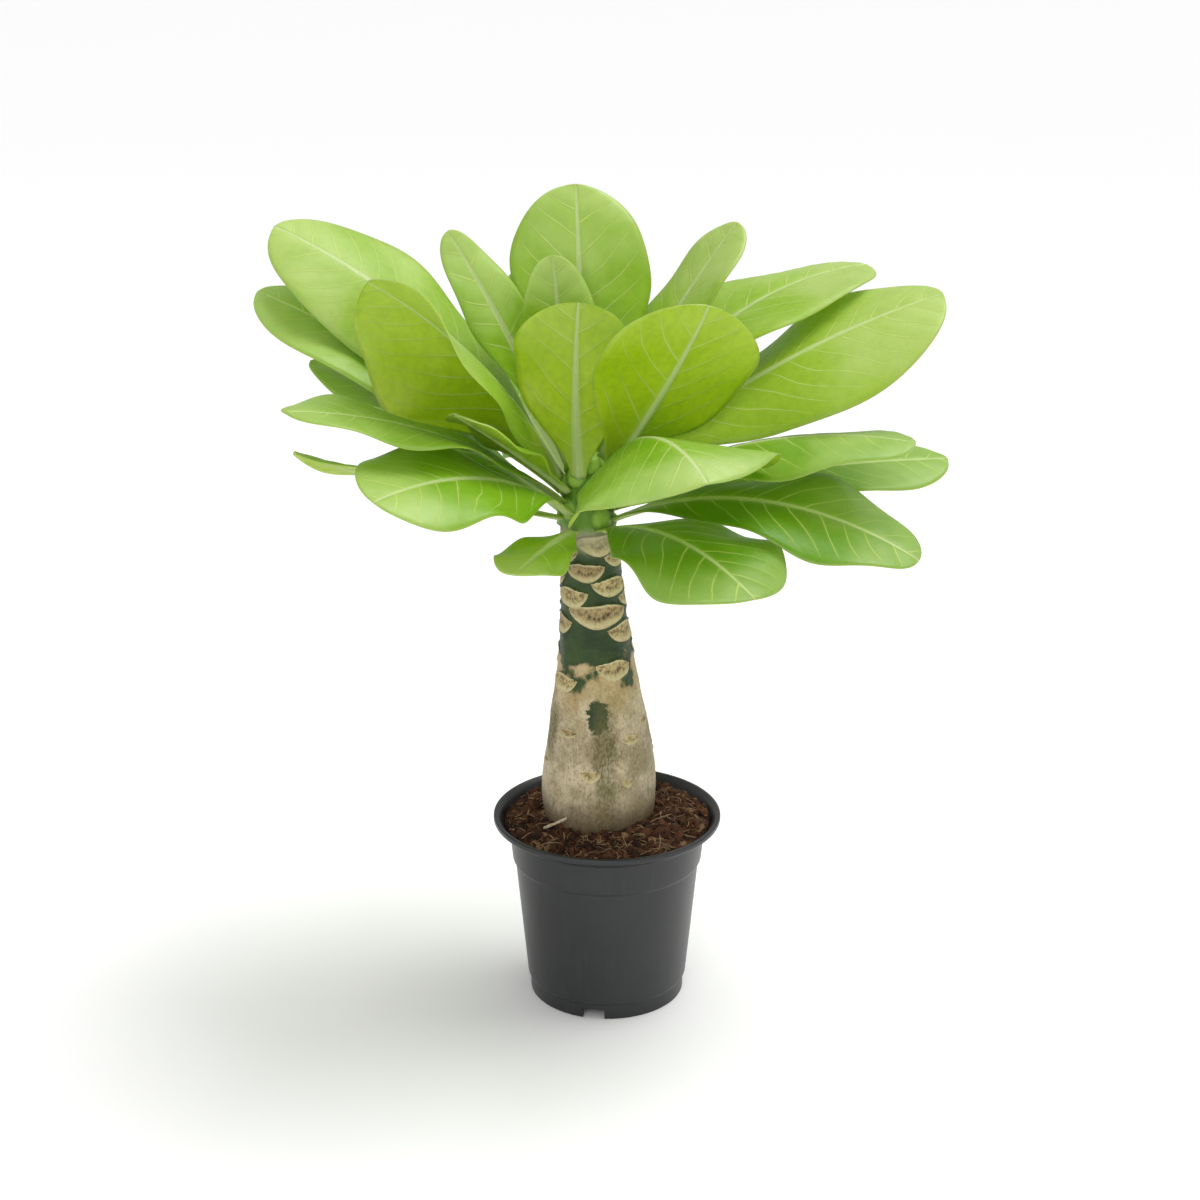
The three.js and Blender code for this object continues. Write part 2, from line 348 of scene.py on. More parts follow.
stem = {
    # height, radius and how far the middle has leaned along X by then
    "rings": [
        (66, 12, -4), (74, 20, -4), (88, 26, -4), (104, 29.5, -4.5), (114, 32, -4.5),
        (124, 32.5, -4.5), (136, 31.5, -4.5), (152, 29.5, -4.5), (170, 27, -5), (186, 24, -6),
        (204, 21, -6.5), (218, 19.5, -7), (232, 18, -7.5), (250, 17, -8.5), (270, 15.5, -10),
        (288, 14, -11), (304, 12, -12), (314, 10, -12), (321, 6, -12),
    ],
    "sides": 200,
    "rows": 400,
    "soilLine": 100,
    "scarTurn": 137.5,
    "firstScar": (-100, 259),
    "scarPitch": 3,
    "scarsAbove": 7,
    "scarsBelow": 40,
    "lastScar": 190,
    "scarWidth": 23.5,
    "scarHeight": 10.5,
    "bareScar": 13,  # this one along the spiral has healed over, and the next one named is the widest
    "wideScar": 8,
    # small old scars low on the swollen part: turn, height, width
    "oldScars": [
        (-50, 163, 10), (-100, 144, 12), (-59, 139, 8), (-127, 167, 10), (14, 150, 10), (75, 160, 11),
        (118, 143, 10), (160, 158, 9), (-165, 146, 8), (40, 132, 8), (-20, 170, 9),
    ],
    # patches: turn, height, half width, half height
    "greenPatch": (-92, 178, 7.5, 11.5),
    "duskPatches": [(-84, 156, 9, 34), (38, 160, 11, 30), (150, 150, 10, 34), (-160, 165, 7, 24)],
    "youngFrom": 281,
    "bases": 17,
    "baseWidth": 12,
    "basePitch": 2.3,
}
# what the finish reads at every point of the stem
stemValues = ("scar", "scarRim", "scarDots", "scarShade", "window", "young", "halo", "dusk", "height")


def stemAt(height):
    heights, radii, lean = zip(*stem["rings"])
    return np.interp(height, heights, radii), np.interp(height, heights, lean)


def stemSmooth(height):
    spread = (-7, -3.5, 0, 3.5, 7)
    radii, lean = stemAt(np.array([height + d for d in spread]))
    return float(np.mean(radii)), float(np.mean(lean))


def unroll(angles, turn):
    return (angles - math.radians(turn) + math.pi) % (2 * math.pi) - math.pi


def listScars():
    scars = []  # turn, height, width, depth and how far it has faded
    for k in range(-stem["scarsAbove"], stem["scarsBelow"]):
        place = stem["firstScar"][1] - (stem["scarPitch"] + 0.05 * max(k - 6, 0)) * k
        old = float(smoothStep(212, 165, place))
        if place > stem["lastScar"] and k != stem["bareScar"]:
            wide = 1.4 if k == stem["wideScar"] else 1 - 0.45 * old
            scars.append((stem["firstScar"][0] + stem["scarTurn"] * k, place, stem["scarWidth"] * wide,
                          stem["scarHeight"] * min(wide, 1.15), old))
    for turn, place, wide in stem["oldScars"]:
        scars.append((turn, place, wide, wide * 0.55, 1.0))
    return scars


def drawScars(heights, angles, radius):
    rng = random.Random(5)
    scar, rim, dots, shade, step, halo = (np.zeros((len(heights), len(angles))) for _ in range(6))
    for k, (turn, place, width, tall, old) in enumerate(listScars()):
        width, tall = width * rng.uniform(0.9, 1.1), tall * rng.uniform(0.9, 1.1)
        x = unroll(angles, turn)[None, :] * radius[:, None] / (width / 2)
        y = (heights[:, None] - place - 0.25 * tall) / tall + 0.035 * np.sin(5 * x + k)
        span = np.maximum(1 - x ** 2, 0.01)
        lens = np.where(y > 0, y / (0.25 * span), -y / (0.75 * span ** 0.6))  # flat above, round below
        lens = np.where(np.abs(x) < 1, lens, 9)
        inside = smoothStep(1.12, 0.92, lens)
        scar = np.maximum(scar, inside)
        rim = np.maximum(rim, np.exp(-((lens - 0.84) / 0.24) ** 2))
        step = np.maximum(step, smoothStep(1.6, 1.0, lens) * (1 - 0.35 * old))
        around = np.exp(-(x ** 2 + (y * 1.1 + 0.1) ** 2) * 1.1) * (0.3 + 0.7 * old)
        halo = np.maximum(halo, around * rng.random())
        for spot in (-0.3, -0.15, 0, 0.15, 0.3):  # the row of dark bundle ends
            drop = -0.32 + 1.2 * spot ** 2
            spots = np.exp(-((x - spot) / 0.05) ** 2 - ((y - drop) / 0.085) ** 2)
            dots = np.maximum(dots, spots * (1 - 0.6 * old))
        shade = np.where(inside > 0.3, rng.random(), shade)
    return scar, rim, dots, shade, step, halo


def drawBases(heights, angles, radius):
    young = np.zeros((len(heights), len(angles)))  # the swollen feet of the youngest stalks
    for k in range(stem["bases"]):
        place = stem["youngFrom"] + 3 + stem["basePitch"] * k
        x = unroll(angles, 30 + stem["scarTurn"] * k)[None, :] * radius[:, None] / (stem["baseWidth"] / 2)
        y = (heights[:, None] - place) / (stem["baseWidth"] / 2)
        young = np.maximum(young, np.maximum(1 - x ** 2 - y ** 2, 0) ** 0.5)
    return young


def makeStem():
    low, high = stem["rings"][0][0], stem["rings"][-1][0]
    line, sides = stem["soilLine"], stem["sides"]
    buried = np.linspace(low, line, 8, endpoint=False)
    heights = np.concatenate([buried, np.linspace(line, high, stem["rows"])])
    angles = np.linspace(0, 2 * math.pi, sides, endpoint=False)
    radius, lean = np.array([stemSmooth(h) for h in heights]).T
    scar, rim, dots, shade, step, halo = drawScars(heights, angles, radius)
    young = drawBases(heights, angles, radius)

    def patch(turn, place, wide, tall):
        aside = unroll(angles, turn)[None, :] * radius[:, None] / wide
        return np.exp(-aside ** 2 - ((heights[:, None] - place) / tall) ** 2)

    window = patch(*stem["greenPatch"])
    dusk = np.max([patch(*dark) for dark in stem["duskPatches"]], axis=0)
    points = []
    for k, height in enumerate(heights):
        lower = float(smoothStep(235, 165, height))
        for i, angle in enumerate(angles):
            c, s = math.cos(angle), math.sin(angle)
            wrinkle = rumple(c * 11, s * 11, height * 0.06, 4) * 0.3 * lower
            lump = rumple(c * 1.6 + 3, s * 1.6, height * 0.03, 3) * 0.8
            fine = rumple(c * 16, s * 16, height * 0.7, 3) * 0.2
            out = radius[k] + wrinkle + lump + fine + 0.9 * step[k, i] - 0.5 * scar[k, i]
            out += 0.35 * rim[k, i] - 0.3 * dots[k, i] + 2.6 * young[k, i]
            points.append(Vector(((lean[k] + out * c) * mm, out * s * mm, height * mm)) + potAxis)
    piece = addPiece("bottleStem", points, ringFaces(len(heights), sides), stemFinish(), ["trunk"])
    tall = np.repeat(heights / 100, sides)
    for name, values in zip(stemValues, (scar, rim, dots, shade, window, young, halo, dusk, tall)):
        addValues(piece, name, values.ravel())


def stemFinish():
    finish = Finish("succulentStem")
    place = finish.place()
    scar, rim, dots, scarShade, window, young, halo, dusk, height = map(finish.attribute, stemValues)
    cloud = finish.noise(place, 75, 4)
    wide = finish.noise(place, 36, 3)
    fleck = finish.noise(place, 420, 4, 0.65)
    fine = finish.noise(finish.stretched(place, 1100, 1100, 500), 1, 3, 0.6)
    streak = finish.noise(finish.stretched(place, 380, 380, 70), 1, 4)
    pit = finish.between(finish.cells(place, 620), 0.0, 0.3, 1.0, 0.0)
    ragged = (cloud - 0.5) * 0.6 + (wide - 0.5) - halo * 0.28
    greenness = finish.between(height + ragged, 1.96, 2.06)
    opened = finish.between(window + (cloud - 0.5) * 1.5 + (fleck - 0.5) * 0.9, 0.42, 0.56)
    greenness = greenness.math("MAXIMUM", opened)
    patches = finish.between(wide + (cloud - 0.5), 0.3, 0.7)
    bark = finish.mix(patches, (0.56, 0.47, 0.31), (0.3, 0.245, 0.135))
    bark = finish.mix(finish.between(streak, 0.5, 0.72, 0.0, 0.35), bark, (0.17, 0.13, 0.06))
    bark = finish.mix(finish.between(fleck, 0.5, 0.66, 0.0, 0.5), bark, (0.17, 0.13, 0.06))
    bark = finish.mix(finish.between(fine, 0.5, 0.72, 0.0, 0.55), bark, (0.11, 0.08, 0.035))
    bark = finish.mix(finish.between(fine, 0.46, 0.28, 0.0, 0.45), bark, (0.6, 0.5, 0.33))
    sandy = finish.between(height + ragged * 0.5, 1.72, 1.95)
    bark = finish.mix(sandy * 0.55, bark, (0.44, 0.31, 0.12))
    green = finish.mix(finish.between(cloud, 0.3, 0.7), (0.01, 0.03, 0.004), (0.03, 0.062, 0.01))
    green = finish.mix(finish.between(fine, 0.55, 0.75, 0.0, 0.35), green, (0.06, 0.085, 0.02))
    colour = finish.mix(greenness, bark, green)
    tan = finish.between(scarShade + (cloud - 0.5), 0.2, 0.9)
    tan = finish.mix(tan, (0.5, 0.4, 0.19), (0.36, 0.26, 0.12))
    tan = finish.mix(finish.between(fleck, 0.45, 0.6, 0.0, 0.75), tan, (0.12, 0.08, 0.03))
    tan = finish.mix(rim * 0.8, tan, (0.6, 0.52, 0.3))
    tan = finish.mix(pit * 0.5, tan, (0.08, 0.055, 0.025))
    tan = finish.mix(dots, tan, (0.05, 0.03, 0.015))
    colour = finish.mix(finish.between(scar + (fleck - 0.5) * 0.6, 0.34, 0.62), colour, tan)
    fresh = finish.between(height + (cloud - 0.5) * 0.08, 2.66, 2.78)
    colour = finish.mix(fresh * 0.75, colour, (0.34, 0.31, 0.2))
    sprout = finish.mix(young, (0.1, 0.22, 0.012), (0.3, 0.5, 0.06))
    colour = finish.mix(finish.between(height, 2.79, 2.85), colour, sprout)
    crease = finish.between(finish.noise(finish.stretched(place, 900, 900, 420), 1, 2, 0.5), 0.5, 0.56)
    olive = finish.between(dusk + (cloud - 0.5) * 0.7 + (fleck - 0.5) * 0.5, 0.25, 0.85) * (1 - scar)
    colour = finish.mix(olive * (0.5 + 0.4 * crease), colour, (0.1, 0.085, 0.022))
    # the bark is coloured darker low down, towards the soil line
    darkNearSoil = finish.between(height + (cloud - 0.5) * 0.3, 1.36, 1.12)
    colour = finish.mix(darkNearSoil * 0.75, colour, (0.075, 0.045, 0.014))
    relief = streak * 0.8 + fleck * 0.6 + fine * 0.7 + cloud * 0.6 - scar * pit * 0.8
    finish.set(Base_Color=colour, Roughness=0.56 - 0.12 * greenness + 0.14 * scar + 0.1 * cloud,
               Specular_IOR_Level=0.35)
    finish.set(Normal=finish.bump(relief, 0.0006, 0.8))
    return finish


makeStem()
print("stem made")


leafShape = {
    "stations": 60,
    "columns": 26,
    "stalkShare": 0.13,
    "widestAt": 0.66,
    "edge": 0.55,  # thickness at the edge, and of the blade inside it
    "blade": 1.1,
    "ribDepth": 1.9,
    "ribWidth": 3.4,
    "curl": -12,
    "wave": 2.5,
    "standOff": 2.0,
    "flatFrom": 0.5,  # past this share of the length the fold opens out by flatShare
    "flatShare": 0.75,
    "waves": 2.3,
    "veinPitch": 14.5,
    "ageBases": (286, 311),  # leaves attached lower than the first are fully dark, above the second fresh
    "ages": {11: 0.4, 12: 0.0, 13: 0.1},  # the leaves that don't follow that rule
    "drift": 0.035,  # how far each edge strays from the plain outline, as a share of the half width
}

# turn: heading around the stem, 0 along +X and 90 along +Y. base: height on the stem. climb: angle
# above level at the stem, which droop takes away by the tip. roll turns the blade about its rib,
# fold lifts both halves, wave is how far the edge ripples.
leafTable = [
    dict(turn=95, base=312, length=155, width=76, climb=84, droop=24, fold=8),
    dict(turn=140, base=318, length=110, width=42, climb=84, droop=2, roll=-30, fold=18),
    dict(turn=-106, base=312, length=96, width=68, climb=76, droop=-28, roll=10, fold=10),
    dict(turn=-36, base=310, length=122, width=86, climb=51, droop=-12, roll=-35, fold=8),
    dict(turn=193, base=309, length=154, width=112, climb=66, droop=36, roll=34, fold=-38),
    dict(turn=160, base=308, length=215, width=80, climb=54, droop=34, roll=-25, fold=-12),
    dict(turn=164, base=300, length=203, width=68, climb=41, droop=22, roll=-15, fold=6),
    dict(turn=168, base=290, length=160, width=60, climb=36, droop=15, fold=6),
    dict(turn=210, base=297, length=176, width=72, climb=41, droop=34, roll=-4, fold=6, wave=3.5),
    dict(turn=202, base=288, length=156, width=50, climb=15, droop=-8, roll=14, fold=4),
    dict(turn=229, base=292, length=152, width=78, climb=38, droop=46, roll=-20, fold=4, wave=4),
    dict(turn=240, base=282, length=62, width=44, climb=-2, droop=10, fold=8),
    dict(turn=-62, base=300, length=138, width=130, climb=70, droop=102, roll=8, fold=-24),
    dict(turn=-53, base=283, length=128, width=94, climb=20, droop=45, fold=4, wave=4),
    dict(turn=-20, base=287, length=176, width=70, climb=26, droop=55, roll=15, fold=4, wave=4),
    dict(turn=-12, base=298, length=172, width=64, climb=36, droop=44, roll=4, fold=-18),
    dict(turn=10, base=291, length=192, width=66, climb=13, droop=15, roll=12, fold=6),
    dict(turn=6, base=306, length=208, width=96, climb=41, droop=24, roll=19, fold=-12),
    dict(turn=30, base=311, length=206, width=86, climb=60, droop=60, fold=6),
    dict(turn=30, base=317, length=150, width=54, climb=64, droop=18, fold=10),
    dict(turn=160, base=316, length=140, width=34, climb=66, droop=10, roll=-40, fold=14),
    dict(turn=126, base=306, length=118, width=38, climb=72, droop=14, fold=12),
    dict(turn=208, base=319, length=32, width=14, climb=84, droop=6, fold=14),
    dict(turn=224, base=304, length=96, width=42, climb=38, droop=5, fold=8),
    dict(turn=85, base=302, length=165, width=80, climb=54, droop=60, fold=8),
    dict(turn=60, base=296, length=175, width=78, climb=42, droop=50, fold=8),
    dict(turn=122, base=298, length=170, width=76, climb=42, droop=50, fold=8),
    dict(turn=98, base=286, length=150, width=74, climb=20, droop=45, fold=6),
]


def leafOutline(s):
    widest = leafShape["widestAt"]
    stalk = leafShape["stalkShare"]
    lower = stalk + (1 - stalk) * np.sin(np.pi / 2 * np.minimum(s / widest, 1)) ** 1.7
    beyond = np.clip((s - widest) / (1 - widest), 0, 1)
    upper = np.sqrt(np.maximum(1 - beyond ** 2.1, 0))
    return np.where(s < widest, lower, np.maximum(upper, 0.02))


def leafSpine(leaf, s):
    turn, base, climb, droop = leaf["turn"], leaf["base"], leaf["climb"], leaf["droop"]
    heading = np.full_like(s, math.radians(turn))
    rise = np.radians(climb - droop * s)
    along = np.stack([np.cos(rise) * np.cos(heading), np.cos(rise) * np.sin(heading), np.sin(rise)], 1)
    side = np.stack([-np.sin(heading), np.cos(heading), np.zeros_like(s)], 1)
    up = np.cross(along, side)
    turned = (np.radians(leaf.get("roll", 0)) * smoothStep(0, 0.45, s))[:, None]
    side, up = side * np.cos(turned) + up * np.sin(turned), up * np.cos(turned) - side * np.sin(turned)
    reach, lean = stemAt(base)
    reach = reach + leafShape["standOff"] * math.sin(math.radians(max(climb, 0)))
    start = np.array([lean + reach * np.cos(heading[0]), reach * np.sin(heading[0]), base])
    steps = along * (leaf["length"] * np.diff(s, prepend=0))[:, None]
    return start + np.cumsum(steps, axis=0), side, up


def leafMesh(leaf, index):
    length, width, fold = leaf["length"], leaf["width"], leaf["fold"]
    wave = leaf.get("wave", leafShape["wave"])
    rows, columns = leafShape["stations"], leafShape["columns"]
    s = 1 - (1 - np.linspace(0, 1, rows + 1)) ** 1.5  # stations crowd towards the tip
    middle, side, up = leafSpine(leaf, s)
    spread = np.linspace(-1, 1, columns + 1)
    t = (np.sign(spread) * np.abs(spread) ** 1.3)[None, :]
    across = np.abs(t)
    half = (width / 2) * leafOutline(s)
    drift = leafShape["drift"] * (np.sin(8.2 * s[:, None] + index * 2.3 + np.where(t > 0, 0, 1.9))
                                  + 0.6 * np.sin(19 * s[:, None] + index * 1.1 + np.where(t > 0, 0, 2.6)))
    t = t * (1 + drift * smoothStep(0.1, 0.4, s)[:, None])
    foldHere = fold * (1 - leafShape["flatShare"] * smoothStep(leafShape["flatFrom"], 1, s))[:, None]
    angle = np.radians(foldHere + leafShape["curl"] * across / 2)
    phase = index * 1.7 + np.where(t > 0, 0, 2.1)
    ripple = wave * across ** 2 * np.sin(leafShape["waves"] * 2 * np.pi * s[:, None] + phase)
    lift = half[:, None] * across * np.sin(angle) + ripple * leafOutline(s)[:, None]
    out = half[:, None] * t * np.cos(angle)
    reachOut = half[:, None] * across
    travel = s[:, None] * length
    veinPhase = (travel - 0.6 * reachOut - 0.011 * reachOut ** 2) / leafShape["veinPitch"]
    veinPhase = veinPhase + np.where(t > 0, 0.5, 0) + 0.12 * np.sin(travel * 0.13 + index)
    inner = smoothStep(0, 0.12, across) * smoothStep(1, 0.85, across)
    pucker = np.abs(np.sin(np.pi * veinPhase)) ** 0.7 * inner  # the blade swells between side veins
    lift = lift + 0.45 * pucker * smoothStep(0.05, 0.3, s)[:, None]
    ribWidth = leafShape["ribWidth"] * (1.15 - 0.95 * s)[:, None]
    rib = np.exp(-(reachOut / ribWidth * 1.6) ** 2)
    blade = leafShape["edge"] + (leafShape["blade"] - leafShape["edge"]) * smoothStep(1, 0.9, across)
    depth = leafShape["ribDepth"] * (1 - 0.85 * s)[:, None] * rib
    surface = middle[:, None, :] + side[:, None, :] * out[..., None] + up[:, None, :] * lift[..., None]
    top = surface + up[:, None, :] * (blade / 2 - 0.25 * rib)[..., None]
    bottom = surface - up[:, None, :] * (blade / 2 + depth)[..., None]
    ring = np.concatenate([top[:, ::-1], bottom], axis=1)
    size = ring.shape[1]
    faces = ringFaces(rows + 1, size)
    faces = [tuple(reversed(face)) for face in faces]

    def around(upper, lower=None):
        lower = upper if lower is None else lower
        return np.concatenate([np.broadcast_to(upper, top.shape[:2])[:, ::-1],
                               np.broadcast_to(lower, top.shape[:2])], axis=1).ravel()

    values = {
        "along": around(np.repeat(s[:, None], columns + 1, axis=1)),
        "across": around(across),
        "veinPhase": around(veinPhase),
        "ribDistance": around(reachOut / ribWidth),
        "travel": around(travel * mm * 10 + np.zeros_like(reachOut)),
        "reachOut": around(half[:, None] * t * mm * 10),
        "under": around(np.zeros(1), np.ones(1)),
    }
    return ring.reshape(-1, 3) * mm + np.array(potAxis), faces, values


def leafFinish():
    finish = Finish("waxyLeaf")
    along = finish.attribute("along")
    across = finish.attribute("across")
    vein = finish.attribute("veinPhase")
    ribDistance = finish.attribute("ribDistance")
    under = finish.attribute("under")
    tint = finish.attribute("tint")
    age = finish.attribute("age")
    flat = finish.node("ShaderNodeCombineXYZ", None,
                       {"X": finish.attribute("travel"), "Y": finish.attribute("reachOut"), "Z": tint * 7})
    cloud = finish.noise(flat, 2.4, 3)
    fine = finish.noise(flat, 26, 4)
    warp = (finish.noise(flat, 4, 2) - 0.5) * 0.3
    nearest = (vein + warp).math("FRACT") - 0.5
    distance = 0.5 - nearest.math("ABSOLUTE")
    fade = finish.between(across, 0.97, 0.72) * finish.between(along, 0.04, 0.2)
    thin = 0.03 - 0.016 * across
    faint = finish.between(finish.noise(flat, 3.2, 1), 0.34, 0.58, 0.35, 1.0)
    veinLine = finish.between(distance / thin, 1.9, 0.6) * fade
    veinHalo = finish.between(distance, 0.16, 0.0) * fade
    net = finish.between(finish.cells(flat, 22, "DISTANCE_TO_EDGE"), 0.06, 0.0)
    rib = finish.between(ribDistance, 1.1, 0.5)
    ribHalo = finish.between(ribDistance, 2.6, 0.6)
    edge = finish.between(across, 0.965, 1.0)
    upperColour = finish.mix(finish.between(cloud, 0.3, 0.7), (0.23, 0.49, 0.002), (0.35, 0.61, 0.007))
    upperColour = finish.mix(tint, upperColour, (0.42, 0.6, 0.03))
    lowerColour = finish.mix(finish.between(cloud, 0.3, 0.7), (0.48, 0.66, 0.006), (0.58, 0.74, 0.014))
    upperColour = finish.mix(age * 0.9, upperColour, (0.1, 0.3, 0.0))
    colour = finish.mix(under, upperColour, lowerColour)
    colour = finish.mix(finish.between(fine, 0.35, 0.7, 0.0, 0.25), colour, (0.17, 0.36, 0.008))
    # painted sheen: a pale whitish wash towards the leaf tips, broken up by the cloud and stronger on the
    # upper side, stands in for gloss reflections; the clear coat is raised by the same mask
    paintedSheen = finish.between(along + (cloud - 0.5) * 0.9, 0.5, 1.0)
    colour = finish.mix(paintedSheen * (0.6 - 0.4 * under) * (1 - 0.4 * age), colour, (0.64, 0.75, 0.3))
    colour = finish.mix(finish.between(along, 0.3, 0.0, 0.0, 0.6), colour, (0.42, 0.56, 0.08))
    colour = finish.mix(net * 0.14, colour, (0.42, 0.58, 0.12))
    colour = finish.mix(veinHalo * 0.22, colour, (0.4, 0.57, 0.05))
    colour = finish.mix(veinLine * faint * 0.75, colour, (0.66, 0.77, 0.24))
    colour = finish.mix(ribHalo * 0.35, colour, (0.44, 0.6, 0.12))
    colour = finish.mix(rib * 0.9, colour, (0.66, 0.76, 0.36))
    colour = finish.mix(edge * 0.5, colour, (0.48, 0.62, 0.14))
    finish.set(Base_Color=colour, Roughness=0.33 + 0.14 * fine + 0.08 * under)
    relief = veinLine * -0.6 + net * -0.12 + fine * 0.25 + rib * 0.2
    normal = finish.bump(relief, 0.0004, 0.6)
    finish.set(Normal=normal, Specular_IOR_Level=0.4)
    finish.set(Coat_Weight=0.06 + 0.18 * paintedSheen * (1 - 0.6 * age), Coat_Roughness=0.3)
    finish.set(Sheen_Weight=0.04, Sheen_Roughness=0.45)
    through = finish.node("ShaderNodeBsdfTranslucent", None, {
        "Color": finish.mix(0.6, colour, (0.55, 0.75, 0.02)), "Normal": normal})
    shown = finish.node("ShaderNodeMixShader", None,
                        {0: 0.36, 1: Wire(finish, finish.shader.outputs[0]), 2: through})
    finish.plug(finish.output.inputs["Surface"], shown)
    return finish


def makeLeaves():
    rng = random.Random(11)
    finish = leafFinish()
    for index, leaf in enumerate(leafTable):
        points, faces, values = leafMesh(leaf, index)
        number = f"{index + 1:02d}"
        piece = addPiece("leafBlade_" + number, points, faces, finish, ["leaf_" + number])
        for name, numbers in values.items():
            addValues(piece, name, numbers)
        addValues(piece, "tint", np.full(len(points), rng.random()))
        oldAge, youngAge = leafShape["ageBases"]
        age = leafShape["ages"].get(index + 1, 1 - smoothStep(oldAge, youngAge, leaf["base"]))
        addValues(piece, "age", np.full(len(points), age))


makeLeaves()
print("leaves made")


soil = {
    "sides": 200,
    "rows": 96,
    "edgeRadius": 58.9,
    "edgeHeight": 105.2,
    "moundRadius": 31,
    "moundHeight": 110.4,
    "crumbs": 1900,
    "crumbSize": (0.7, 3.6),
    "fibres": 360,
    "fibreLength": (5, 24),
    "fibreSteps": 8,
    "fibreSides": 5,
    "stemLevel": 110,  # loose bits keep clear of the stem as it is at this height
}


def soilHeight(x, y):
    share = (soil["edgeRadius"] - math.hypot(x, y)) / (soil["edgeRadius"] - soil["moundRadius"])
    share = min(max(share, 0), 1)
    hills = rumple(x * 0.06, y * 0.06, 1.7, 4) * 1.5 + rumple(x * 0.35, y * 0.35, 5.1, 3) * 0.8
    level = soil["edgeHeight"] + (soil["moundHeight"] - soil["edgeHeight"]) * share
    return level + hills * (0.3 + 0.7 * min(share * 4, 1))


def stemGap(x, y):
    radius, lean = stemAt(soil["stemLevel"])
    return math.hypot(x - lean, y) - radius


def makeSoilBed():
    sides, rows, edge = soil["sides"], soil["rows"], soil["edgeRadius"]
    points = []
    for k in range(rows):
        reach = edge * (k + 0.5) / rows
        for i in range(sides):
            a = 2 * math.pi * i / sides
            x, y = reach * math.cos(a), reach * math.sin(a)
            points.append(Vector((x * mm, y * mm, soilHeight(x, y) * mm)) + potAxis)
    below = [(edge - 1.2, 103.4), (pot["throatRadius"] - 2.4, 99), (wallRadius(84) - 2.4, 84),
             (wallRadius(80) - 2.4, 79), (wallRadius(12) - 2.4, 12), (pot["footRadius"] - 6, 7.8)]
    for reach, height in below:
        for i in range(sides):
            a = 2 * math.pi * i / sides
            x, y = reach * math.cos(a), reach * math.sin(a)
            points.append(Vector((x * mm, y * mm, height * mm)) + potAxis)
    faces = [tuple(reversed(face)) for face in ringFaces(rows + len(below), sides)]
    addPiece("soilBed", points, faces, soilFinish("pottingMix", False), ["soil"])


def onSoil(rng, margin):
    while True:
        reach = math.sqrt(rng.random()) * (soil["edgeRadius"] + 0.6 - margin)
        a = rng.random() * 2 * math.pi
        x, y = reach * math.cos(a), reach * math.sin(a)
        if stemGap(x, y) > -0.5:
            return x, y


def makeCrumbs():
    rng = random.Random(3)
    shape = bmesh.new()
    bmesh.ops.create_icosphere(shape, subdivisions=2, radius=1)
    corners = [v.co.copy() for v in shape.verts]
    sides = [tuple(v.index for v in face.verts) for face in shape.faces]
    shape.free()
    points, faces, shades = [], [], []
    for k in range(soil["crumbs"]):
        low, high = soil["crumbSize"]
        size = low + (high - low) * rng.random() ** 3.2
        x, y = onSoil(rng, size + 0.6)
        tilt, axis = rng.random() * 6.3, Vector([rng.uniform(-1, 1) for _ in range(3)])
        spin = Matrix.Rotation(tilt, 3, axis.normalized())
        squash = Vector((rng.uniform(0.7, 1.6), rng.uniform(0.45, 1.0), rng.uniform(0.3, 0.8)))
        seat = soilHeight(x, y) + size * rng.uniform(-0.3, 0.3)
        offset = len(points)
        shade = rng.random()
        for corner in corners:
            bumpy = 1 + 0.9 * noise.noise(corner * 2.1 + Vector((k, 0, 0)))
            p = spin @ Vector([c * s for c, s in zip(corner * bumpy * size, squash)])
            points.append((p + Vector((x, y, seat))) * mm + potAxis)
            shades.append(shade)
        faces += [tuple(i + offset for i in face) for face in sides]
    piece = addPiece("soilCrumbs", points, faces, soilFinish("pottingCrumbs", True))
    addValues(piece, "shade", shades)


def makeFibres():
    rng = random.Random(8)
    points, faces, shades = [], [], []
    for _ in range(soil["fibres"]):
        low, high = soil["fibreLength"]
        length = low + (high - low) * rng.random() ** 2
        x, y = onSoil(rng, 3)
        heading = rng.random() * 6.3
        bend = rng.uniform(-0.09, 0.09)
        thick = rng.uniform(0.13, 0.34)
        steps, sides = soil["fibreSteps"], soil["fibreSides"]
        lift = rng.uniform(0.2, 1.6)
        arch = rng.uniform(0, 2.4) if rng.random() < 0.35 else 0.3
        offset = len(points)
        shade = rng.random()
        rings = 0
        for k in range(steps + 1):
            reach = math.hypot(x, y)
            if reach > soil["edgeRadius"] - 0.8 or stemGap(x, y) < 0.5:
                break
            z = soilHeight(x, y) + lift + arch * math.sin(math.pi * k / steps)
            taper = thick * (0.35 + 0.65 * math.sin(math.pi * (k + 0.6) / (steps + 1.2)))
            across = Vector((-math.sin(heading), math.cos(heading), 0))
            for j in range(sides):
                a = 2 * math.pi * j / sides
                ring = across * math.cos(a) + Vector((0, 0, math.sin(a)))
                points.append((Vector((x, y, z)) + ring * taper) * mm + potAxis)
                shades.append(shade)
            rings += 1
            heading += bend * length / steps + rng.uniform(-0.12, 0.12)
            x += math.cos(heading) * length / steps
            y += math.sin(heading) * length / steps
        if rings < 3:
            del points[offset:], shades[offset:]
            continue
        faces += [tuple(i + offset for i in reversed(face)) for face in ringFaces(rings, sides)]
    piece = addPiece("coirFibres", points, faces, fibreFinish())
    addValues(piece, "shade", shades)


